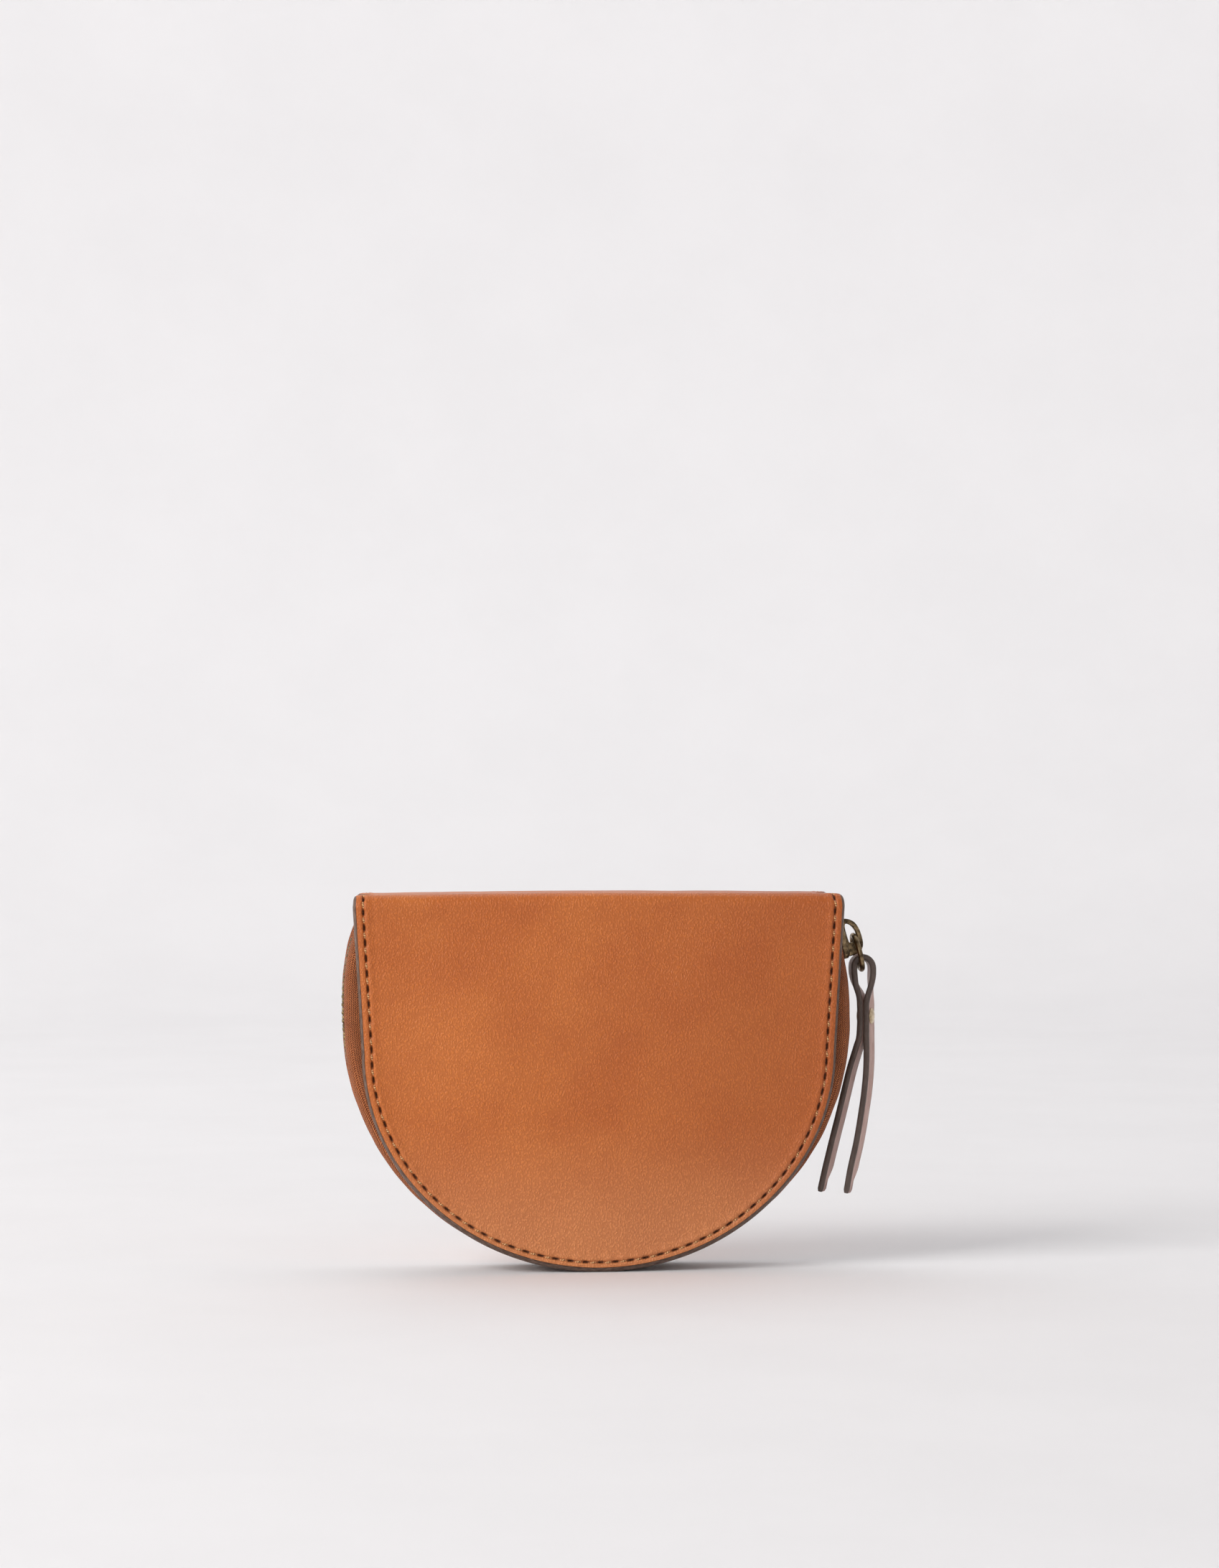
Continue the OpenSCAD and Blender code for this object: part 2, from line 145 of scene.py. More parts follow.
def add_piece(name, solid, material, body, side=1, grain=None, sharp=50, values=None):
    """A piece from its points in millimetres and its faces, drawn for the front; side -1 mirrors
    it for the back. grain is each point's place in the material, sharp the angle that edges show
    at, and values are more numbers per point that the material reads."""
    points, faces = solid if side == 1 else mirrored(solid)
    mesh = bpy.data.meshes.new(name)
    mesh.from_pydata((np.asarray(points) * MM).tolist(), [], faces)
    mesh.validate()
    mesh.materials.append(material)
    mesh.polygons.foreach_set("use_smooth", [True] * len(mesh.polygons))
    mesh.set_sharp_from_angle(angle=math.radians(sharp))
    where = mesh.attributes.new("grain", "FLOAT_VECTOR", "POINT")
    where.data.foreach_set("vector", np.asarray(points if grain is None else grain, np.float32).ravel())
    for key, numbers in (values or {}).items():
        attribute = mesh.attributes.new(key, "FLOAT", "POINT")
        attribute.data.foreach_set("value", np.asarray(numbers, np.float32))
    obj = bpy.data.objects.new(name, mesh)
    bpy.context.scene.collection.objects.link(obj)
    if body:
        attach(obj, body)
    return obj


def merged(parts):
    """Several (points, faces) as one."""
    points, faces, start = [], [], 0
    for p, f in parts:
        points.append(np.asarray(p, float))
        faces += [tuple(i + start for i in face) for face in f]
        start += len(p)
    return np.vstack(points), faces


def loft(sections):
    """A closed solid through closed sections that all have as many points."""
    sections = np.asarray(sections, float)
    rows, cols = sections.shape[:2]
    faces = [tuple(range(cols - 1, -1, -1)), tuple((rows - 1) * cols + j for j in range(cols))]
    for i in range(rows - 1):
        for j in range(cols):
            k = (j + 1) % cols
            faces.append((i * cols + j, i * cols + k, (i + 1) * cols + k, (i + 1) * cols + j))
    return sections.reshape(-1, 3), faces


def hoop(sections):
    """A closed ring of closed sections."""
    sections = np.asarray(sections, float)
    rows, cols = sections.shape[:2]
    faces = []
    for i in range(rows):
        for j in range(cols):
            k, m = (j + 1) % cols, (i + 1) % rows
            faces.append((i * cols + j, i * cols + k, m * cols + k, m * cols + j))
    return sections.reshape(-1, 3), faces


def flipped(faces):
    return [tuple(reversed(f)) for f in faces]


def mirrored(solid):
    """The same solid on the other side of the middle plane."""
    points, faces = solid
    return np.asarray(points) * (1, -1, 1), flipped(faces)


# ---- the sheet of one half: its flat pattern, and how it is wrapped over the fold ----


class Wrap:
    """Half of a sheet that is folded over the top: it goes up the face and over to the middle."""

    def __init__(self, face, top, radius):
        self.face, self.top, self.radius = face, top, radius
        self.rise = top - radius
        self.turned = self.rise + math.pi / 2 * radius
        self.length = self.turned + face - radius

    def place(self, x, w, depth):
        """Points at x across and w along the sheet, raised outwards by depth."""
        turn = np.clip((w - self.rise) / self.radius, 0, math.pi / 2)
        reach = self.radius + depth
        y = -(self.face - self.radius) - reach * np.cos(turn) + np.maximum(w - self.turned, 0)
        z = np.minimum(w, self.rise) + reach * np.sin(turn)
        return np.stack([x, y, z], 1)


def half_width(w, wrap):
    """Half the width of the cover at a place along it, with the scoop in the fold's end."""
    y = wrap.length - w
    above = np.minimum(w, wrap.rise) - CURVE_H
    side = WAIST_W / 2 + (BODY_W - WAIST_W) / 2 * above / (BODY_H - CURVE_H)
    corner = 0.25 * smooth((w - wrap.rise + 1) / (math.pi / 2 * wrap.radius + 1))
    return side - corner - SCOOP_DEPTH * np.exp(-(np.abs(y) / SCOOP_W) ** 3)


def tucked(x, w, side):
    """The back half's top corners sit a little further in than the front's."""
    over_fold = smooth((w - COVER.rise) / (COVER.length - COVER.rise))
    tuck = TUCK * smooth((w - TUCK_START) / TUCK_RISE) * (1 - over_fold)
    return x if side == 1 else x * (1 - tuck / (BODY_W / 2))


def stations(wrap, step):
    """Places round the edge of a half from its left end at the fold down, round and up again.
    Each row has the point on the edge, the direction inwards, and the point on the middle line
    where the pattern's row ends."""
    ups = np.concatenate([
        np.linspace(wrap.length, wrap.rise, round((wrap.length - wrap.rise) / step)),
        np.linspace(wrap.rise, CURVE_H, round((wrap.rise - CURVE_H) / step) + 1)[1:],
    ])
    widths = half_width(ups, wrap)
    slope = np.gradient(widths, ups)
    stretch = np.sqrt(1 + slope ** 2)
    zero = np.zeros_like(ups)
    left = np.stack([-widths, ups, stretch, zero, zero, ups], 1)
    right = (left * (-1, 1, -1, 1, 1, 1))[::-1]
    count = round(math.pi / 2 * (WAIST_W / 2 + CURVE_H) / step)
    turn = np.pi * np.arange(1, count) / count
    normal = np.stack([np.cos(turn) / (WAIST_W / 2), np.sin(turn) / CURVE_H], 1)
    normal /= np.linalg.norm(normal, axis=1)[:, None]
    bottom = np.stack([
        -WAIST_W / 2 * np.cos(turn), CURVE_H - CURVE_H * np.sin(turn),
        normal[:, 0], normal[:, 1], 0 * turn, 0 * turn + CURVE_H,
    ], 1)
    return np.vstack([left, bottom, right])


def along(points):
    """Distance along a row of points."""
    return np.concatenate([[0], np.cumsum(np.linalg.norm(np.diff(points, axis=0), axis=1))])


def at_distance(line, run, at):
    """Points in a plane at given distances along a line. run is the distance of its own points."""
    return np.stack([np.interp(at, run, line[:, k]) for k in (0, 1)], 1)


def paint_width(places):
    """Width of the painted edge as seen from the front: widest at the bottom."""
    low = smooth((PAINT_RISE - places[:, 1]) / PAINT_RISE)
    side = np.where(places[:, 0] < 0, PAINT_LEFT, PAINT_RIGHT)
    return side + (PAINT_LOW - side) * low


def grid_faces(index, rows, cols):
    """Quads of a grid whose points are numbered by index, where some points may coincide."""
    faces = []
    for i in range(rows - 1):
        for j in range(cols - 1):
            quad = [index[i * cols + j], index[(i + 1) * cols + j],
                    index[(i + 1) * cols + j + 1], index[i * cols + j + 1]]
            quad = [int(v) for k, v in enumerate(quad) if v != quad[k - 1]]
            if len(set(quad)) > 2:
                faces.append(tuple(quad))
    return faces


def without_repeats(grid):
    """The first of each set of coinciding points in a grid, and the number of each point's own."""
    keys = np.round(grid.reshape(-1, 2), 3) + 0.0
    _, first, index = np.unique(keys, axis=0, return_index=True, return_inverse=True)
    return first, index.ravel()


class Pattern:
    """The flat pattern of one half as a grid of quads, from its edge to its middle line. Its
    first columns follow the edge at the given insets. The first two of them follow lead, the
    width of the painted edge, because the leather starts just under the paint."""

    def __init__(self, wrap, step, insets, inner_columns, lead):
        places = stations(wrap, step)
        edge, inwards, middle = places[:, 0:2], places[:, 2:4], places[:, 4:6]
        stitch_line = edge + inwards * STITCH_INSET
        run = along(stitch_line)
        insets = np.array(insets)
        rows_inset = np.broadcast_to(insets, (len(edge), len(insets))).copy()
        rows_inset[:, 0] = lead(places) - 0.15
        rows_inset[:, 1] = lead(places) + 0.05
        near = edge[:, None] + inwards[:, None] * rows_inset[:, :, None]
        share = (np.arange(1, inner_columns + 1) / inner_columns)[None, :, None]
        far = near[:, -1:] * (1 - share) + middle[:, None] * share
        grid = np.concatenate([near, far], 1)
        far_inset = rows_inset[:, -1:] + np.linalg.norm(far - near[:, -1:], axis=2)
        inset = np.concatenate([rows_inset, far_inset], 1)
        runs = np.broadcast_to(run[:, None], inset.shape)
        first, index = without_repeats(grid)
        self.xw = grid.reshape(-1, 2)[first]
        self.inset = inset.reshape(-1)[first]
        self.run = runs.reshape(-1)[first]
        self.length = run[-1]
        self.faces = grid_faces(index, *inset.shape)
        self.rim = rim_edges(self.faces)


def rim_edges(faces):
    """The edges that only one face has, each in that face's direction."""
    edges = {}
    for face in faces:
        for a, b in zip(face, face[1:] + face[:1]):
            if (b, a) in edges:
                del edges[(b, a)]
            else:
                edges[(a, b)] = True
    return list(edges)


def sheet_solid(faces, rim, outer, inner):
    """A closed sheet from the points of its two sides."""
    n = len(outer)
    solid = list(faces) + [tuple(i + n for i in reversed(f)) for f in faces]
    solid += [(b, a, a + n, b + n) for a, b in rim]
    return np.vstack([outer, inner]), solid


# ---- materials ----


class Paint:
    """A node material, with short calls for the nodes that the materials here share."""

    def __init__(self, name, roughness=0.5, metallic=0.0, specular=0.5, sheen=0.0, coat=0.0):
        self.material = bpy.data.materials.new(name)
        self.material.use_nodes = True
        self.tree = self.material.node_tree
        self.shader = self.tree.nodes["Principled BSDF"]
        settings = {
            "Roughness": roughness, "Metallic": metallic, "Specular IOR Level": specular,
            "Sheen Weight": sheen, "Sheen Roughness": 0.4, "Coat Weight": coat, "Coat Roughness": 0.3,
        }
        for key, value in settings.items():
            self.shader.inputs[key].default_value = value
        self.where = self.attribute("grain", "Vector")

    def link(self, value, socket):
        """value is another node's output, or a plain number or colour."""
        if hasattr(value, "is_output"):
            self.tree.links.new(value, socket)
        else:
            socket.default_value = value

    def node(self, kind, inputs=(), output=0, **settings):
        made = self.tree.nodes.new(kind)
        for key, value in settings.items():
            setattr(made, key, value)
        for key, value in dict(inputs).items():
            self.link(value, made.inputs[key])
        return made.outputs[output]

    def attribute(self, name, output="Fac"):
        return self.node("ShaderNodeAttribute", output=output, attribute_name=name)

    def place_parts(self):
        """X, Y and Z of the place in the material."""
        self.node("ShaderNodeSeparateXYZ", {"Vector": self.where})
        return self.tree.nodes[-1].outputs

    def scaled(self, scale, vector=None):
        return self.node("ShaderNodeMapping", {"Vector": vector or self.where, "Scale": scale})

    def noise(self, scale, detail=2.0, rough=0.5, distortion=0.0, vector=None):
        return self.node("ShaderNodeTexNoise", {
            "Vector": vector or self.where, "Scale": scale, "Detail": detail,
            "Roughness": rough, "Distortion": distortion,
        })

    def math(self, operation, a, b=0.0, clamp=False):
        return self.node("ShaderNodeMath", {0: a, 1: b}, operation=operation, use_clamp=clamp)

    def plus(self, a, b, share=1.0):
        """a and a share of b."""
        return self.math("ADD", a, b if share == 1.0 else self.math("MULTIPLY", b, share))

    def between(self, value, low, high, to_low=0.0, to_high=1.0):
        """to_low up to low, to_high from high on, and a smooth change between them."""
        return self.node("ShaderNodeMapRange", {
            "Value": value, "From Min": low, "From Max": high, "To Min": to_low, "To Max": to_high,
        }, interpolation_type="SMOOTHSTEP")

    def mix(self, factor, a, b):
        made = self.tree.nodes.new("ShaderNodeMix")
        made.data_type = "RGBA"
        self.link(factor, made.inputs[0])
        self.link(a, made.inputs[6])
        self.link(b, made.inputs[7])
        return made.outputs[2]

    def bump(self, height, distance, strength=1.0):
        """distance is in millimetres."""
        made = self.node("ShaderNodeBump", {
            "Height": height, "Distance": distance * MM, "Strength": strength,
        })
        self.link(made, self.shader.inputs["Normal"])

    def finish(self, colour, roughness=None):
        self.link(colour, self.shader.inputs["Base Color"])
        if roughness is not None:
            self.link(roughness, self.shader.inputs["Roughness"])
        return self.material


def grained_leather(name, colours, grain=1.0, depth=0.16, roughness=(0.4, 0.56)):
    """Leather with pebbles parted by fine winding creases. colours are its light, middle and dark
    tones, the colour of the creases and a paler tone of painted light, standing in for floor bounce
    light, that it takes far from the fold. A larger grain gives smaller pebbles. An attribute paints
    shade into the stitch holes and the groove, and the right side is darkened with painted shade."""
    light, middle, dark, crease, pale = colours
    p = Paint(name, specular=0.45, sheen=0.08)
    wander = p.scaled((0.7, 0.7, 0.7), p.node("ShaderNodeTexNoise", {
        "Vector": p.where, "Scale": 0.8 * grain, "Detail": 2.0}, output=1))
    warped = p.node("ShaderNodeVectorMath", {0: p.where, 1: wander}, operation="ADD")
    cells = p.node("ShaderNodeTexVoronoi", {
        "Vector": p.scaled((1.35, 0.92, 1.0), warped), "Scale": 1.5 * grain, "Smoothness": 0.55,
    }, feature="SMOOTH_F1")
    pebble = p.between(cells, 0.12, 0.62, 1.0, 0.0)
    worms = p.noise(1.5 * grain, 1.5, 0.45, 0.5, p.scaled((1.5, 0.85, 1.0)))
    fine = p.noise(4.5 * grain, 2.0)
    relief = p.plus(p.math("MULTIPLY", pebble, 0.5), worms, 0.5)
    p.bump(p.plus(relief, fine, 0.12), depth)
    broad = p.noise(0.028, 3.0, 0.55)
    patches = p.noise(0.12, 4.0, 0.6)
    tone = p.mix(p.between(broad, 0.36, 0.64), light, middle)
    tone = p.mix(p.between(patches, 0.5, 0.8, 0.0, 0.3), tone, dark)
    across, from_fold, _ = p.place_parts()
    down = p.math("ABSOLUTE", from_fold)
    # painted shade: the leather darkens towards its right side, which the light from the left reaches
    # less
    tone = p.mix(p.between(across, -40, 66, 0.0, 0.55), tone, dark)
    # painted light: far from the fold, at the bottom of the cover, the leather pales as though lit by
    # light bounced up from the floor
    tone = p.mix(p.between(down, 66, 104, 0.0, 0.45), tone, pale)
    creased = p.mix(p.between(relief, 0.3, 0.62, 0.24, 0.0), tone, crease)
    # painted shade: the stitch holes and the groove under the stitches are mixed towards dark brown
    painted_hole_shade = p.attribute("painted_hole_shade")
    creased = p.mix(p.math("MULTIPLY", painted_hole_shade, 0.9, True), creased, srgb(62, 30, 14))
    return p.finish(creased, p.between(p.plus(fine, patches), 0.6, 1.4, *roughness))


def edge_paint_finish(name, light, dark):
    """Satin paint on the leather's cut edges, a little streaky."""
    p = Paint(name, specular=0.3, coat=0.04)
    streaks = p.noise(0.5, 3.0, 0.6, 0.3)
    fine = p.noise(4.0, 2.0)
    p.bump(p.plus(streaks, fine, 0.35), 0.1, 0.5)
    tone = p.mix(p.between(streaks, 0.35, 0.7), dark, light)
    return p.finish(tone, p.between(fine, 0.3, 0.7, 0.38, 0.52))


def woven(name, light, dark, ribs=1.6):
    """Zip tape: fine slanted ribs that turn at each band, as a herringbone does. The grain's X is
    along the tape and its Y across it."""
    p = Paint(name, specular=0.2, sheen=0.08)
    lengthwise, across, _ = p.place_parts()
    zigzag = p.math("PINGPONG", across, 1.25)
    uneven = p.noise(1.6, 2.0)
    phase = p.plus(p.math("MULTIPLY", lengthwise, ribs), zigzag, ribs * 1.2)
    phase = p.plus(phase, uneven, 0.9)
    rib = p.math("SINE", p.math("MULTIPLY", phase, 2 * math.pi))
    warp = p.math("SINE", p.math("MULTIPLY", across, 2 * math.pi * 2.0))
    yarn = p.plus(p.math("MULTIPLY", rib, 0.5), warp, 0.3)
    fuzz = p.noise(5.0, 3.0, 0.7)
    p.bump(p.plus(yarn, fuzz, 1.2), 0.28)
    tone = p.mix(p.between(p.plus(yarn, fuzz, 1.5), 0.1, 1.5), dark, light)
    shade = p.noise(0.08, 2.0)
    tone = p.mix(p.between(shade, 0.35, 0.7, 0.0, 0.35), tone, dark)
    return p.finish(tone, p.between(fuzz, 0.3, 0.7, 0.7, 0.9))


def brushed_metal(name, light, dark, roughness=(0.26, 0.44)):
    """Antique finish: worn bright metal with darker patina in patches."""
    p = Paint(name, metallic=1.0)
    patina = p.noise(0.55, 5.0, 0.65, 0.2)
    fine = p.noise(7.0, 3.0, 0.6)
    p.bump(p.plus(fine, patina), 0.02, 0.6)
    tone = p.mix(p.between(patina, 0.38, 0.66), light, dark)
    return p.finish(tone, p.between(p.plus(fine, patina), 0.7, 1.3, *roughness))


def thread_finish(name, light, dark):
    """Twisted thread: slanted plies round the stitch. The grain's X is along it, Y round it."""
    p = Paint(name, specular=0.35, sheen=0.2)
    lengthwise, around, _ = p.place_parts()
    turn = p.plus(p.math("MULTIPLY", lengthwise, 9.0), around)
    ply = p.math("SINE", turn)
    p.bump(p.plus(ply, p.noise(9.0), 0.6), 0.06, 0.8)
    tone = p.mix(p.between(ply, -0.9, 0.6), dark, light)
    return p.finish(tone, p.between(p.noise(5.0), 0.3, 0.7, 0.5, 0.7))


def suede(name, light, dark):
    """Soft lining with a short nap."""
    p = Paint(name, specular=0.12, sheen=0.5)
    nap = p.noise(3.2, 5.0, 0.75)
    clouds = p.noise(0.07, 4.0, 0.6, 0.4)
    p.bump(p.plus(nap, clouds, 1.5), 0.12, 0.8)
    tone = p.mix(p.between(clouds, 0.35, 0.68), light, dark)
    tone = p.mix(p.between(nap, 0.35, 0.7, 0.0, 0.35), tone, dark)
    return p.finish(tone, p.between(nap, 0.3, 0.7, 0.78, 0.94))


def strap_leather(name, face_light, face_dark, edge_light, edge_dark):
    """Thong: smooth leather faces, and painted edges where the attribute edge is 1."""
    p = Paint(name, specular=0.45, coat=0.06)
    pores = p.node("ShaderNodeTexVoronoi", {"Vector": p.where, "Scale": 2.2},
                   feature="DISTANCE_TO_EDGE")
    streaks = p.noise(0.6, 4.0, 0.6, 0.3, p.scaled((0.35, 1.2, 1.0)))
    p.bump(p.plus(p.between(pores, 0.0, 0.2), p.noise(5.0, 2.0)), 0.05, 0.7)
    face = p.mix(p.between(streaks, 0.35, 0.65), face_light, face_dark)
    edge = p.mix(p.between(streaks, 0.3, 0.7), edge_light, edge_dark)
    tone = p.mix(p.between(p.attribute("edge"), 0.35, 0.65), face, edge)
    return p.finish(tone, p.between(streaks, 0.3, 0.7, 0.36, 0.5))


# light, middle and dark tones, creases, and the pale tone of painted floor bounce light far from the
# fold
COGNAC = (
    srgb(203, 114, 46), srgb(191, 101, 36), srgb(164, 79, 25), srgb(118, 50, 18), srgb(228, 158, 106))
POCKET = (
    srgb(196, 116, 58), srgb(184, 100, 46), srgb(160, 80, 34), srgb(116, 52, 18), srgb(196, 120, 66))

outer_leather = grained_leather("outer_leather", COGNAC)
pocket_leather = grained_leather("pocket_leather", POCKET, grain=1.5, depth=0.12)
edge_paint = edge_paint_finish("edge_paint", srgb(120, 97, 84), srgb(80, 61, 51))
zip_cloth = woven("zip_cloth", srgb(222, 136, 84), srgb(120, 60, 32))
zip_brass = brushed_metal("zip_brass", srgb(158, 134, 92), srgb(72, 58, 36))
slider_brass = brushed_metal("slider_brass", srgb(152, 130, 98), srgb(66, 54, 40))
rivet_brass = brushed_metal("rivet_brass", srgb(214, 194, 162), srgb(158, 136, 104), (0.22, 0.36))
tan_thread = thread_finish("tan_thread", srgb(220, 172, 118), srgb(146, 92, 52))
lining_suede = suede("lining_suede", srgb(178, 134, 96), srgb(138, 96, 64))
thong_finish = strap_leather(
    "thong_finish", srgb(196, 159, 146), srgb(180, 141, 128), srgb(92, 77, 69), srgb(76, 62, 55))


# ---- cover ----

COVER = Wrap(FACE_Y, BODY_H, FOLD_R)
INSETS = [0.5, 1.0, 1.6, 1.9, 2.06, 2.18, 2.28, 2.38, 2.47, 2.56, 2.65, 2.74, 2.84, 2.95, 3.1, 3.3,
          3.6, 4.0, 4.6, 5.4, 6.6, 8.0]
cover_pattern = Pattern(COVER, 0.45, INSETS, 34, paint_width)
stitch_start = COVER.length - COVER.turned + 0.6
stitch_count = round((cover_pattern.length - 2 * stitch_start) / STITCH_PITCH)
stitch_pitch = (cover_pattern.length - 2 * stitch_start) / stitch_count


def sheet_thickness(w):
    """The cover is leather and board on its faces and leather alone over the fold."""
    over = smooth((w - COVER.rise + 1.5) / (COVER.turned - COVER.rise + 1.5))
    return HALF_T + (SPINE_T - HALF_T) * over


def stitch_reach(w):
    """1 where the stitch line runs, 0 over the fold."""
    return smooth((COVER.turned - w) / 1.2)


def cover_relief(pattern, side):
    """How far the leather stands out at each point of its outer side, and how much painted shade
    darkens it in the stitch holes and the groove. side is 1 for the front and -1 for the back."""
    x, w, inset = pattern.xw[:, 0], pattern.xw[:, 1], pattern.inset
    sewn = stitch_reach(w)
    phase = (pattern.run - stitch_start) / stitch_pitch * 2 * np.pi
    offset = inset - STITCH_INSET
    between = 0.5 + 0.5 * np.cos(phase)
    groove = np.exp(-(offset / 0.3) ** 2)
    hole = np.exp(-((offset - 0.05) / 0.3) ** 2) * smooth((between - 0.45) / 0.4)
    rim = np.exp(-((offset + 0.85) / 0.5) ** 2)
    pillow = np.exp(-((offset - 1.0) / 0.75) ** 2)
    unrolled = np.stack([x, side * (COVER.length - w), 0 * x], 1)
    # the groove under the stitches, their holes, and the swell of the leather on both sides
    relief = sewn * (
        -0.26 * groove - 0.55 * hole + 0.14 * rim * (1 - 0.8 * between) + 0.28 * pillow
        - 0.16 * pillow * between
    )
    # the whole face bulges, waves of three sizes run over it, and the fold has a crown
    inside = smooth((inset - 3) / 34) * smooth((COVER.rise - w) / 30)
    relief += 1.5 * inside
    relief += 0.16 * noise_at(unrolled, 26, 3) * smooth((inset - 2) / 8)
    relief += 0.07 * noise_at(unrolled, 9, 7) * smooth((inset - 2) / 6)
    relief += 0.05 * noise_at(unrolled, 2.6, 11) * (0.4 + 0.6 * sewn * np.exp(-(offset / 3) ** 2))
    relief -= 0.2 * smooth((1.4 - inset) / 1.0)
    relief += 0.45 * smooth((w - COVER.rise) / 3) * np.cos(np.pi / 2 * np.clip(x / 62, -1, 1))
    # the second value is the painted shade for the stitch holes and the groove
    return relief, sewn * np.clip(1.15 * hole + 0.35 * groove, 0, 1), unrolled


def leave_fold(obj, side):
    """Bakes a piece's placement into its mesh, the same way for the front and the back."""
    if side == 1:
        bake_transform(obj)
    else:
        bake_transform(obj)


def bend(obj, side):
    """Bakes the placement of a piece of the front or back into its mesh."""
    leave_fold(obj, side)


def on_cover(xw, depth, side):
    """Points of one half's cover, raised outwards by depth, as on the front."""
    return COVER.place(tucked(xw[:, 0], xw[:, 1], side), xw[:, 1], depth)


def build_cover(name, side):
    """Leather and board of one half, with its share of the fold, as one closed sheet."""
    p = cover_pattern
    relief, painted_hole_shade, unrolled = cover_relief(p, side)
    outer = on_cover(p.xw, relief, side)
    inner = on_cover(p.xw, -sheet_thickness(p.xw[:, 1]), side)
    solid = sheet_solid(p.faces, p.rim, outer, inner)
    grain = np.vstack([unrolled, unrolled - (0, 0, 2)])
    # painted shade for the stitch holes and the groove, on the outer side only
    values = {"painted_hole_shade": np.concatenate([painted_hole_shade, 0 * painted_hole_shade])}
    obj = add_piece(name, solid, outer_leather, None, side, grain, values=values)
    bend(obj, side)
    return obj


def build_edge_paint(name, side):
    """The bead of paint over the cut edges of the leather and the board, round each half."""
    places = stations(COVER, 1.0)
    edge, inwards = places[:, 0:2], places[:, 2:4]
    width = paint_width(places)
    thick = sheet_thickness(edge[:, 1]) + 0.03
    folded = smooth((edge[:, 1] - COVER.rise - 2.5) / 2.5)
    run = along(edge)
    shape = [(1.12, -0.3, 0), (1.0, -0.14, 0), (0.8, -0.02, 0), (0.55, -0.1, 0), (0.3, -0.26, 0),
             (0.1, -0.42, 0), (0, -0.58, 0), (0, -0.76, 0), (0.02, -0.9, 0.02), (0.0, -0.98, 0.2),
             (0, -1.0, 0.5), (0, -1.0, 1.4), (0, -0.5, 1.6)]
    wave = 0.06 * noise_at(np.stack([run, 0 * run, 0 * run], 1), 3.5, side + 21)
    sections, grain = [], []
    for k, (share, depth, more) in enumerate(shape):
        inset = share * width + more + (wave if k in (1, 2) else 0)
        at = edge + inwards * inset[:, None]
        d = depth * thick * np.where(depth < -0.3, 1, width / 1.2) - 0.22 * folded
        sections.append(on_cover(at, d, side))
        grain.append(np.stack([run, 0 * run + 2.0 * k, 0 * run], 1))
    grain = np.stack(grain, 1).reshape(-1, 3)
    obj = add_piece(name, loft(np.stack(sections, 1)), edge_paint, None, side, grain, 60)
    bend(obj, side)
    return obj


def stitch_mesh(centres, tangents, outwards, length, radius, slant, sink):
    """Separate stitches, each a short thread that rises out of one hole and sinks into the next."""
    parts, grain = [], []
    turn = 2 * np.pi * np.arange(8) / 8
    for centre, tangent, out in zip(centres, tangents, outwards):
        side = np.cross(out, tangent)
        lean = tangent * math.cos(slant) + side * math.sin(slant)
        across = np.cross(out, lean)
        sections = []
        for t in np.linspace(-1, 1, 9):
            low = sink * abs(t) ** 2.6
            fat = radius * (1 - 0.45 * abs(t) ** 4)
            at = centre + lean * (t * length / 2) - out * low
            ring = at + np.outer(np.cos(turn), across) * fat + np.outer(np.sin(turn), out) * fat * 0.8
            sections.append(ring)
            grain += [(t * length / 2, a, 0) for a in turn]
        parts.append(loft(sections))
    return merged(parts), np.array(grain)


def build_stitching(name, side):
    """One stitch between each two holes of the seam round a half."""
    places = stations(COVER, 0.4)
    line = places[:, 0:2] + places[:, 2:4] * STITCH_INSET
    run = along(line)
    at = stitch_start + stitch_pitch * (np.arange(stitch_count) + 0.5)
    xw = at_distance(line, run, at)
    centres = on_cover(xw, 0 * at - 0.1, side)
    ways = on_cover(at_distance(line, run, at + 0.3), 0 * at - 0.1, side) - centres
    tangents = ways / np.linalg.norm(ways, axis=1)[:, None]
    outwards = on_cover(xw, 0 * at + 0.9, side) - centres
    length = 0.52 * stitch_pitch
    solid, grain = stitch_mesh(centres, tangents, outwards, length, THREAD_R, 0.3, 0.6)
    obj = add_piece(name, solid, tan_thread, None, side, grain)
    bend(obj, side)
    return obj


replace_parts(build_cover("front_cover", 1), "front_leather", "spine_leather")
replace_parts(build_cover("back_cover", -1), "back_leather")
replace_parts(build_edge_paint("front_painted_edge", 1), "front_stiffener")
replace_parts(build_edge_paint("back_painted_edge", -1), "back_stiffener")
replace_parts(build_stitching("front_stitching", 1), "front_thread")
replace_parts(build_stitching("back_stitching", -1), "back_thread")


# ---- zip ----


def on_chain(angle, radial, across, along_path=0.0):
    """A point on the zip: angles run clockwise seen from the front, from level on the right."""
    a = np.radians(angle)
    x = radial * np.cos(a) - along_path * np.sin(a)
    z = CHAIN_Z - radial * np.sin(a) - along_path * np.cos(a)
    return np.stack(np.broadcast_arrays(x, across, z), -1)


def flare(angle):
    """How far the zip's open end springs outwards. More would not fit in the slider."""
    return 0.5 * float(smooth((angle - 176) / 20))


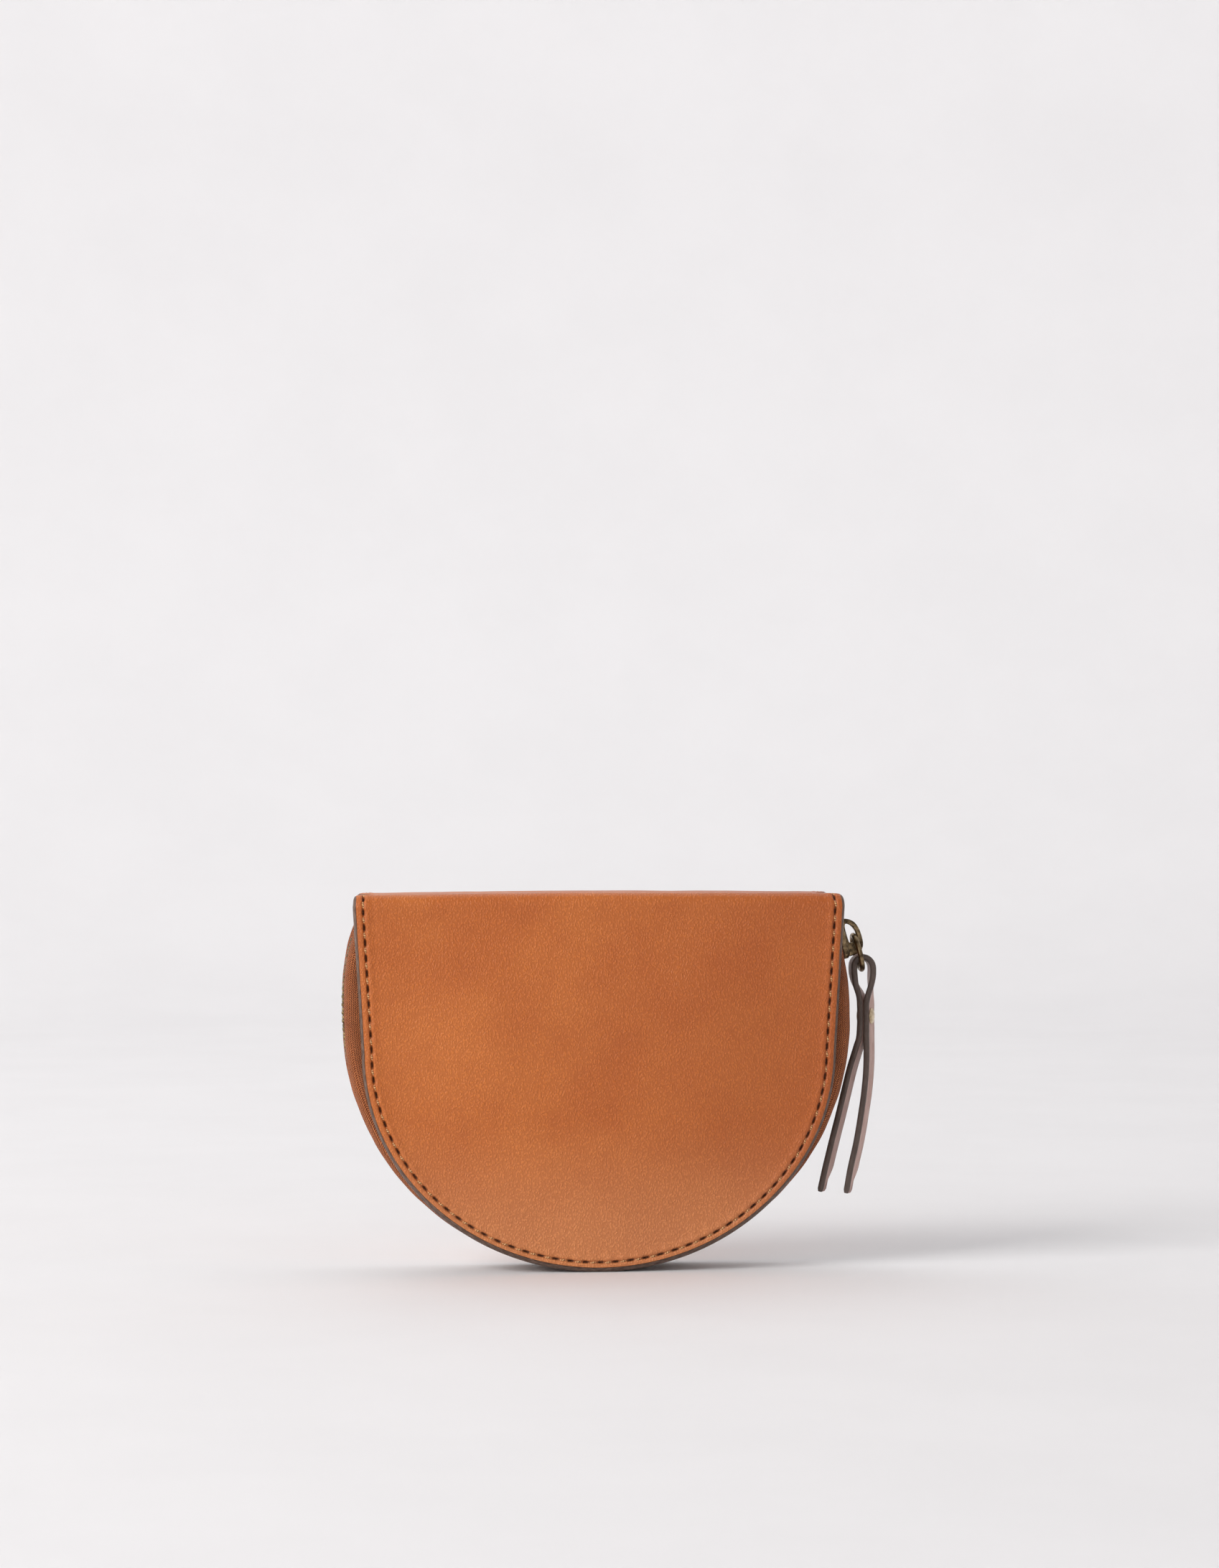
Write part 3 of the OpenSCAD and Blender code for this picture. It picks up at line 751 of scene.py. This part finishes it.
def sweep_chain(section, grain_y, name, side):
    """Sweeps a closed section of (radius, depth) points round the zip's path. Beyond TAPE_MEET
    it waves a little and swells at the lower corners of the purse."""
    angles = np.linspace(TAPE_START, TAPE_START + TAPE_SPAN, 240)
    section = np.asarray(section, float)
    sections, grain = [], []
    for angle in angles:
        run = math.radians(angle) * CHAIN_R
        wave = 0.15 * noise.noise(Vector((run / 6, side * 3.0, 1.5))) - 0.1
        wave += 1.3 * abs(math.sin(2 * math.radians(angle))) * (0 < angle < 180)
        swell = smooth((-TAPE_MEET - section[:, 1]) / 1.2) * smooth((section[:, 0] - TAPE_R + 1.6) / 1.2)
        wave += flare(angle)
        sections.append(on_chain(angle, section[:, 0] + wave * swell + flare(angle), section[:, 1]))
        grain += [(run, g, 0.0) for g in grain_y]
    obj = add_piece(name, loft(sections), zip_cloth, None, side, grain)
    return obj


def strip_outline(path, thickness):
    """Closed outline of a strip along a path of (radius, depth) points, and the distance along
    the path at each of its points."""
    path = curve_through(path, 4)
    d = np.gradient(path, axis=0)
    n = np.stack([-d[:, 1], d[:, 0]], 1) / np.linalg.norm(d, axis=1)[:, None]
    run = along(path)
    outline = np.vstack([path + n * thickness / 2, (path - n * thickness / 2)[::-1]])
    return outline, np.concatenate([run, run[::-1]])


def build_tape(side, prefix):
    """The tape beside the teeth, which follows the zip's path, and its sewn part, which follows
    the cover. They meet at TAPE_MEET from the middle, where both move alike."""
    outline, run = strip_outline(
        [(TAPE_R, -1.1), (TAPE_R, -2.4), (TAPE_R, -3.5), (TAPE_R + 0.08, -TAPE_MEET)],
        TAPE_T)
    chain_tape = sweep_chain(outline, run, prefix + "_zip_tape", side)
    outline, more = strip_outline([
        (TAPE_R + 0.08, -TAPE_MEET), (TAPE_R + 0.22, -5.2), (TAPE_R + 0.15, -6.3),
        (TAPE_R - 0.3, -7.4), (TAPE_R - 1.4, -8.15), (TAPE_R - 3.2, -8.32), (60, -8.32),
        (56.8, -8.32)], TAPE_T)
    sewn_tape = sweep_chain(outline, run.max() + more, prefix + "_zip_tape_margin", side)
    leave_fold(chain_tape, side)
    leave_fold(sewn_tape, side)
    return chain_tape


def tooth_sections(angle, length, tip):
    """One metal tooth that grips the front tape and reaches past the middle with its head."""
    shape = [  # distance from the middle, and length and height as shares
        (2.62, 0.72, 0.78), (2.5, 0.9, 0.94), (1.9, 1.0, 1.0), (1.3, 1.0, 1.0), (1.0, 0.86, 0.9),
        (0.45, 0.84, 0.86), (0.1, 1.04, 0.94), (tip + 0.22, 1.04, 0.94), (tip, 0.74, 0.7),
    ]
    sections = []
    for across, long, tall in shape:
        ring = rounded_box(TOOTH_H * tall, length * long, 0.22, 2)
        sections.append(on_chain(angle, TAPE_R + flare(angle) + ring[:, 0], -across, ring[:, 1]))
    return sections


def build_teeth(side, prefix, shift):
    """The teeth of one tape, with the last ones past each end of the slider's travel."""
    parts = []
    total = math.floor(MESH_SPAN / PITCH_ANGLE)
    for i in range(-TAIL_TEETH, total + TAIL_TEETH):
        parts.append(loft(tooth_sections(MESH_START + (i + shift) * PITCH_ANGLE, 0.92, -0.45)))
    obj = add_piece(prefix + "_zip_teeth", merged(parts), zip_brass, None, side)
    leave_fold(obj, side)
    return obj


def build_stops():
    """Two separate stops at the closed end, and one that joins both tapes at the open end."""
    single = loft(tooth_sections(STOP_ANGLE, 1.5, 0.35))
    top = add_piece("zip_top_stops", merged([single, mirrored(single)]), zip_brass, "spine")
    shape = [
        (-2.62, 0.75), (-2.45, 0.95), (-1.2, 1.0), (0, 0.94), (1.2, 1.0), (2.45, 0.95), (2.62, 0.75)]
    sections = []
    for across, share in shape:
        ring = rounded_box(TOOTH_H * share, 1.6 * share, 0.3, 3)
        sections.append(on_chain(180 - STOP_ANGLE, TAPE_R + ring[:, 0], across, ring[:, 1]))
    points, faces = loft(sections)
    bottom = add_piece("zip_bottom_stop", (points, flipped(faces)), zip_brass, "spine")
    for obj, node in ((top, "top_stops"), (bottom, "bottom_stop")):
        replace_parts(obj, node)


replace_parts(build_tape(1, "front"), "front_tape", "tail_tape_right")
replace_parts(build_tape(-1, "back"), "back_tape", "tail_tape_left")
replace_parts(build_teeth(1, "front", 0.25), "front_teeth", "tail_teeth_right")
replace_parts(build_teeth(-1, "back", 0.75), "back_teeth", "tail_teeth_left")
build_stops()


# ---- slider, ring and pull ----


def slider_place(x, y, z):
    """From the slider's own frame, X away from the zip's centre and Z up along its path."""
    a = math.radians(SLIDER_ANGLE)
    x, y, z = np.broadcast_arrays(np.asarray(x, float), y, z)
    height = CHAIN_Z + x * math.sin(a) + z * math.cos(a)
    return np.stack([x * math.cos(a) - z * math.sin(a), y, height], -1)


def shield_half_width(z):
    """Wide where the tapes part, narrower where the teeth leave closed."""
    return 3.3 + 0.9 * smooth((z + 2.2) / 2.2) - 1.1 * smooth((abs(z) - 3.6) / 1.2)


def shield(plain, inward, reach):
    """A shield with its two flanges. plain is the radius of its outside, inward the direction of
    its flanges and reach their length."""
    sections = []
    for z in np.linspace(-4.8, 4.8, 25):
        w = float(shield_half_width(z))
        soft = 0.35 * float(smooth((abs(z) - 4.1) / 0.7))
        drop = CHAIN_R - math.sqrt(CHAIN_R ** 2 - z ** 2)
        t = SHIELD_T
        right = [(soft, 0), (soft, 0.45 * w), (soft + 0.05, w - 0.7), (soft + 0.22, w - 0.25),
                 (soft + 0.55, w), (reach - 0.2, w), (reach, w - 0.15), (reach, w - 0.65),
                 (reach - 0.2, w - 0.8), (t - soft, w - 0.85), (t - soft, 0.5 * w)]
        ring = right + [(d, -y) for d, y in reversed(right[1:])]
        sections.append([slider_place(plain + inward * d - drop, y, z) for d, y in ring])
    points, faces = loft(sections)
    return (points, faces) if inward < 0 else (points, flipped(faces))


def build_slider():
    """Two curved shields and the neck between them, over which the teeth part."""
    high = shield(SHIELD_TOP_R, -1, 1.8)
    low = shield(BASE_R - SHIELD_T, 1, 1.75)
    sections = []
    for x in np.linspace(BASE_R - 0.6, SHIELD_TOP_R - 0.5, 5):
        ring = rounded_box(0.6, 2.4, 0.28, 3)
        sections.append([slider_place(x, y, 2.3 + z) for y, z in ring])
    neck = loft(sections)
    obj = add_piece("zip_slider", merged([high, low, neck]), slider_brass, "slider", sharp=35)
    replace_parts(obj, "slider_body")


def closed_curve(points, count):
    """A smooth closed curve through points, as count points evenly along it."""
    p = np.array(points, float)
    n = len(p)
    fine = curve_through(np.vstack([p[-2:], p, p[:2]]), 12)[24:24 + 12 * n + 1]
    run = along(fine)
    at = np.linspace(0, run[-1], count, endpoint=False)
    return at_distance(fine, run, at)


def build_bail():
    """The arch that the ring hangs in: thin over the top, thick at its lower leg."""
    outer = [(-0.5, -4.4), (1.4, -4.55), (3.0, -4.2), (4.1, -2.9), (4.45, -1.0), (4.3, 1.6),
             (3.6, 3.7), (2.2, 5.0), (0.6, 5.5), (-0.6, 5.3), (-0.7, 1.5), (-0.7, -1.5)]
    hole = [(0.85, -1.1), (1.8, -1.15), (2.8, -0.7), (3.15, 0.4), (2.95, 1.9), (2.2, 3.3),
            (1.1, 4.0), (0.7, 3.0), (0.65, 0.6)]
    outer, hole = [closed_curve(np.array(c) + (SHIELD_TOP_R, 0), 72) for c in (outer, hole)]
    middle = hole.mean(0)
    full = 2 * np.pi
    angles = np.linspace(0, full, 72, endpoint=False)
    loops = []
    for curve in (outer, hole):
        turn = np.mod(np.unwrap(np.arctan2(curve[:, 1] - middle[1], curve[:, 0] - middle[0])), full)
        order = np.argsort(turn)
        loop = [np.interp(angles, turn[order], curve[order, k], period=full) for k in (0, 1)]
        loops.append(np.stack(loop, 1))
    sections = []
    for o, h in zip(*loops):
        span = np.linalg.norm(o - h)
        ring = rounded_box(span, 2.0, min(0.45, span * 0.3), 4)
        share = ring[:, 0] / span + 0.5
        at = h + np.outer(share, o - h)
        sections.append(slider_place(at[:, 0], ring[:, 1], at[:, 1]))
    obj = add_piece("zip_slider_bail", hoop(sections), slider_brass, "slider", sharp=60)
    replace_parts(obj, "slider_crown")


def build_ring():
    """A jump ring of round wire, with the cut that it was closed at."""
    top, low = Vector((RING_TOP[0], 0, RING_TOP[1])), Vector((RING_LOW[0], 0, RING_LOW[1]))
    middle, down = (top + low) / 2, (low - top).normalized()
    radius = (low - top).length / 2
    side = Vector((0, 1, 0))
    facing = down.cross(side)
    sections = []
    gap = 0.035
    for a in np.linspace(gap, 2 * math.pi - gap, 72):
        out = down * math.sin(a) + side * math.cos(a)
        wire = []
        for b in np.linspace(0, 2 * math.pi, 16, endpoint=False):
            around = out * math.cos(b) + facing * math.sin(b)
            wire.append(middle + out * radius + around * RING_WIRE / 2)
        sections.append([tuple(v) for v in wire])
    obj = add_piece("pull_jump_ring", loft(sections), slider_brass, "ring")
    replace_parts(obj, "jump_ring")


# Middle line of the thong in X and Z from the ring's lowest point: up the right strand, over the
# ring, and down the left strand
THONG_PATH = [
    (-3.4, -59.3), (-2.2, -52.6), (-0.7, -46), (0.5, -39), (1.5, -32), (2.03, -25), (2.03, -17),
    (2.03, -8.5), (2.6, -3.5), (2.75, 0.6), (1.9, 2.5), (0.3, 3.3), (-1.5, 2.7), (-2.3, 0.8),
    (-1.8, -3.5), (0.17, -8.5), (0.17, -17), (-0.7, -20.5), (-2.4, -26), (-3.9, -32), (-5.6, -39),
    (-7.4, -46), (-9.1, -53), (-10.4, -58.8),
]


def build_thong():
    """One strip folded over the ring, with domed painted edges and slanting cut ends."""
    path = curve_through(THONG_PATH, 8)
    d = np.gradient(path, axis=0)
    normal = np.stack([-d[:, 1], d[:, 0]], 1) / np.linalg.norm(d, axis=1)[:, None]
    run = along(path)
    ring = rounded_box(THONG_W, THONG_T, 0.6, 5)
    face = np.array([(a, THONG_T / 2) for a in (2.2, 1.9, 0.0, -1.9, -2.2)])
    ring = np.vstack([ring[:6], face, ring[6:18], -face, ring[18:]])
    sections, grain, edge = [], [], []
    for i, (at, n) in enumerate(zip(path, normal)):
        from_end = min(run[i], run[-1] - run[i])
        cut = 7.0 * float(smooth(1 - from_end / 7.0))
        wide = THONG_W - 0.78 * cut
        y = np.where(ring[:, 0] > 0, ring[:, 0] * (wide * 2 / THONG_W - 1), ring[:, 0])
        thin = 1 - 0.35 * float(smooth(1 - from_end / 0.8))
        twist = math.radians(THONG_TWIST) * float(smooth((-at[1] - 1) / 9))
        level = n[0] * ring[:, 1] * thin
        sections.append(np.stack([
            RING_LOW[0] + at[0] + level * math.cos(twist) - y * math.sin(twist),
            y * math.cos(twist) + level * math.sin(twist),
            RING_LOW[1] + at[1] + n[1] * ring[:, 1] * thin], 1))
        grain += [(run[i], a, b) for a, b in ring]
        edge += list((np.abs(ring[:, 0]) > 2.3).astype(float))
    obj = add_piece(
        "pull_thong_strap", loft(sections), thong_finish, "pull", 1, grain, 60, {"edge": edge})
    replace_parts(obj, "pull_thong")


def lathe(profile, origin, axis, count=32):
    """Turns a profile of (radius, height) points round an axis, from its bottom centre out and
    back to its top centre."""
    axis = Vector(axis).normalized()
    u = axis.orthogonal().normalized()
    v = axis.cross(u)
    turn = [2 * math.pi * k / count for k in range(count)]
    sections = []
    for r, h in profile:
        middle = Vector(origin) + axis * h
        sections.append([tuple(middle + (u * math.cos(t) + v * math.sin(t)) * r) for t in turn])
    return loft(sections)


def build_rivet():
    """A domed cap outside and a ring-shaped base against the other strand."""
    where = (RING_LOW[0] + RIVET_X, 0, RING_LOW[1] + RIVET_Z)
    half = THONG_T + 0.02
    twist = math.radians(THONG_TWIST)
    outwards = Vector((math.cos(twist), math.sin(twist), 0))
    dome = [(0.9, -half), (0.9, half - 0.4), (2.05, half - 0.05), (2.12, half + 0.12),
            (2.0, half + 0.3), (1.6, half + 0.45), (0.9, half + 0.56), (0.05, half + 0.6)]
    cap = add_piece("rivet_dome", lathe(dome, where, outwards), rivet_brass, "pull", sharp=40)
    base = [(0.9, half - 0.3), (2.05, half - 0.02), (2.12, half + 0.14), (1.9, half + 0.3),
            (1.3, half + 0.34), (1.0, half + 0.2), (0.7, half + 0.14), (0.05, half + 0.12)]
    back = add_piece("rivet_washer", lathe(base, where, -outwards), rivet_brass, "pull", sharp=40)
    for obj, node in ((cap, "rivet_cap"), (back, "rivet_base")):
        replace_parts(obj, node)


build_slider()
build_bail()
build_ring()
build_thong()
build_rivet()


# ---- inside: linings and pockets ----

LINING = Wrap(ROOM_Y, BODY_H - 2.1, 1.0)


def lining_half_width(w):
    """The lining ends over the zip tape's margin, and spreads to the cover's edge at the fold."""
    z = np.minimum(w, LINING.rise)
    ring = np.sqrt(np.maximum(LINING_R ** 2 - (z - CHAIN_Z) ** 2, 0))
    cover_w = w + (COVER.length - LINING.length)
    wide = half_width(np.maximum(cover_w, CURVE_H), COVER) - 1.5
    return ring + (wide - ring) * smooth((z - 89) / 5.5)


def lining_pattern(step, columns):
    """A grid over the lining: rows across it above the zip's centre, rays below."""
    ups = np.arange(LINING.length, CHAIN_Z, -step)
    turns = np.linspace(0, np.pi, round(np.pi * LINING_R / step) + 1)
    share = np.linspace(0, 1, columns)
    left = [np.stack([-lining_half_width(w) * (1 - share), 0 * share + w], 1) for w in ups]
    rays = LINING_R * (1 - share)
    fan = [np.stack([-rays * math.cos(t), CHAIN_Z - rays * math.sin(t)], 1) for t in turns]
    right = [row * (-1, 1) for row in reversed(left)]
    grid = np.array(left + fan + right)
    first, index = without_repeats(grid)
    return grid.reshape(-1, 2)[first], grid_faces(index, *grid.shape[:2])


lining_xw, lining_faces = lining_pattern(1.3, 34)


def build_lining(name, side):
    x, w = lining_xw[:, 0], lining_xw[:, 1]
    unrolled = np.stack([x, side * (LINING.length - w), 0 * x], 1)
    ripple = 0.12 * noise_at(unrolled, 12, side + 31) + 0.05 * noise_at(unrolled, 4, side + 35)
    outer = LINING.place(x, w, 0 * x + LINING_T - 0.02)
    inner = LINING.place(x, w, np.maximum(ripple, -0.3) * 0.5)
    solid = sheet_solid(lining_faces, rim_edges(lining_faces), outer, inner)
    obj = add_piece(name, solid, lining_suede, None, side, np.vstack([unrolled, unrolled]))
    bend(obj, side)
    return obj


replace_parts(build_lining("front_lining_suede", 1), "front_lining", "spine_lining")
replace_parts(build_lining("back_lining_suede", -1), "back_lining")


def build_pocket(name, level, top, side, node, body):
    """A pocket sheet with rounded lower corners, a creased line under its mouth and a mouth that
    stands out a little in the middle."""
    columns, rows = 72, max(18, int((top - POCKET_BOTTOM) / 1.1))
    half, corner = POCKET_W / 2, 3.0
    faces, xz = [], []
    for i in range(rows + 1):
        for j in range(columns + 1):
            z = POCKET_BOTTOM + (top - POCKET_BOTTOM) * i / rows
            low = max(0.0, corner - (z - POCKET_BOTTOM))
            width = half - (corner - math.sqrt(max(corner ** 2 - low ** 2, 0)))
            xz.append((width * (2 * j / columns - 1), z))
    for i in range(rows):
        for j in range(columns):
            a = i * (columns + 1) + j
            faces.append((a, a + 1, a + columns + 2, a + columns + 1))
    x, z = np.array(xz).T
    back = -ROOM_Y + (2 * level + 1) * SHEET_T
    near_mouth = np.exp(-(top - z) / 9)
    bow = 0.3 * near_mouth * (1 - (x / half) ** 2)
    crease = 0.14 * np.exp(-((top - z - 2.2) / 0.35) ** 2)
    seam = 0.12 * np.exp(-((half - np.abs(x) - 1) / 0.5) ** 2)
    grain = np.stack([x, z, 0 * x + 9 * level], 1)
    front = back + SHEET_T + bow - crease - seam + 0.05 * noise_at(grain, 7, level + 41)
    outer = np.stack([x, front, z], 1)
    inner = np.stack([x, back + bow * 0.8 - SHEET_T * (near_mouth < 0.02), z], 1)
    points, faces = sheet_solid(faces, rim_edges(faces), outer, inner)
    grain = np.vstack([grain, grain])
    obj = add_piece(name, (points, flipped(faces)), pocket_leather, body, side, grain)
    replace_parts(obj, node)


def seam_run(a, b, pitch):
    """Middles of the stitches from a to b, and their direction."""
    a, b = np.array(a, float), np.array(b, float)
    count = round(np.linalg.norm(b - a) / pitch)
    middles = a + np.outer((np.arange(count) + 0.5) / count, b - a)
    return middles, np.tile((b - a) / np.linalg.norm(b - a), (count, 1))


def build_pocket_thread(name, seams, side, node, body):
    """Stitches along seams given as (level, start, end) in X and Z."""
    centres, tangents = [], []
    for level, a, b in seams:
        y = -ROOM_Y + (2 * level + 2) * SHEET_T + 0.02
        middles, ways = seam_run((a[0], y, a[1]), (b[0], y, b[1]), 3.0)
        centres.append(middles)
        tangents.append(ways)
    centres, tangents = np.vstack(centres), np.vstack(tangents)
    outwards = np.tile((0.0, 1.0, 0.0), (len(centres), 1))
    solid, grain = stitch_mesh(centres, tangents, outwards, 2.3, 0.22, 0.1, 0.3)
    obj = add_piece(name, solid, tan_thread, body, side, grain)
    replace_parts(obj, node)


def u_seam(tops):
    """The seam down both sides of stacked pockets and along their bottom. tops are the heights
    of the mouths, the rear pocket's first."""
    x, low = POCKET_W / 2 - 1, POCKET_BOTTOM + 1
    seams = [(len(tops) - 1, (-x + 2, low), (x - 2, low))]
    lows = list(tops[1:]) + [low + 2]
    for level, (top, bottom) in enumerate(zip(tops, lows)):
        for s in (-1, 1):
            seams.append((level, (s * x, bottom + 0.4), (s * x, top - 0.6)))
    return seams


for level, (label, top) in enumerate(zip(("rear", "middle", "front"), SLOT_TOPS)):
    build_pocket("card_pocket_" + label, level, top, 1, "card_slot_" + label, "front_half")
build_pocket_thread("card_pocket_stitching", u_seam(SLOT_TOPS), 1, "card_slot_thread", "front_half")
build_pocket("slip_pocket_sheet", 0, SLIP_TOP, -1, "slip_pocket", "back_half")
build_pocket_thread("slip_pocket_stitching", u_seam((SLIP_TOP,)), -1, "slip_pocket_thread", "back_half")


# ---- stage, light and camera ----


def build_backdrop():
    """A round pale floor that curves up into a wall on every side."""
    middle_y, wall, radius, rise, count = -550.0, 2050.0, 500.0, 2600.0, 96
    curve = [math.pi / 2 * k / 12 for k in range(13)]
    profile = [(wall - radius + radius * math.sin(a), radius - radius * math.cos(a)) for a in curve]
    profile.append((wall, rise))
    turn = [2 * math.pi * k / count for k in range(count)]
    points = [(0, middle_y, 0)]
    points += [(r * math.cos(t), middle_y + r * math.sin(t), z) for r, z in profile for t in turn]
    faces = [(0, 1 + k, 1 + (k + 1) % count) for k in range(count)]
    for i in range(len(profile) - 1):
        low, high = 1 + i * count, 1 + (i + 1) * count
        for k in range(count):
            after = (k + 1) % count
            faces.append((low + k, high + k, high + after, low + after))
    p = Paint("backdrop", roughness=0.85, specular=0.2)
    dust = p.noise(0.012, 3.0, 0.6)
    tone = p.mix(p.between(dust, 0.3, 0.7), srgb(231, 230, 231), srgb(229, 228, 229))
    obj = add_piece("backdrop", (points, faces), p.finish(tone), None)


def add_light(name, place, target, size, power, colour=(1, 1, 1)):
    """A soft rectangular light. place, target and size are in metres, power in watts."""
    data = bpy.data.lights.new(name, "AREA")
    data.shape = "RECTANGLE"
    data.size, data.size_y = size
    data.energy = power
    data.color = colour
    obj = bpy.data.objects.new(name, data)
    bpy.context.scene.collection.objects.link(obj)
    obj.location = place
    obj.rotation_euler = (Vector(target) - Vector(place)).to_track_quat("-Z", "Y").to_euler()


def build_lights():
    world = bpy.data.worlds.new("studio")
    world.use_nodes = True
    sky = world.node_tree.nodes["Background"].inputs
    sky["Color"].default_value = (0.93, 0.93, 0.94, 1)
    sky["Strength"].default_value = 0.2
    bpy.context.scene.world = world
    middle = (0, 0, 0.06)
    add_light("key", (-1.6, -1.0, 1.15), middle, (1.1, 1.1), 36, (1.0, 0.985, 0.97))
    add_light("fill", (-0.6, -1.6, 0.7), middle, (1.2, 1.2), 2.6)
    add_light("back", (-0.5, 0.9, 1.5), middle, (1.4, 0.8), 4)
    add_light("wall", (0.3, 0.4, 1.9), (0.5, 1.5, 0.4), (1.6, 1.0), 8)


def build_camera():
    """The photograph's view: from a little left of the front and slightly above, purse low in
    the frame."""
    yaw, pitch, distance = math.radians(6.0), math.radians(0.4), 1100.0
    sensor, view_height = 36.0, 410.3
    target = Vector((2.3, -FACE_Y, 127.9))
    level = math.cos(pitch)
    back = Vector((-math.sin(yaw) * level, -math.cos(yaw) * level, math.sin(pitch)))
    data = bpy.data.cameras.new("camera")
    data.sensor_width = sensor
    data.lens = sensor * distance / view_height
    data.clip_start = 0.01
    data.clip_end = 20
    camera = bpy.data.objects.new("camera", data)
    bpy.context.scene.collection.objects.link(camera)
    camera.location = (target + back * distance) * MM
    camera.rotation_euler = (-back).to_track_quat("-Z", "Y").to_euler()
    bpy.context.scene.camera = camera


build_backdrop()
build_lights()
build_camera()
bpy.context.scene.view_settings.view_transform = "Standard"
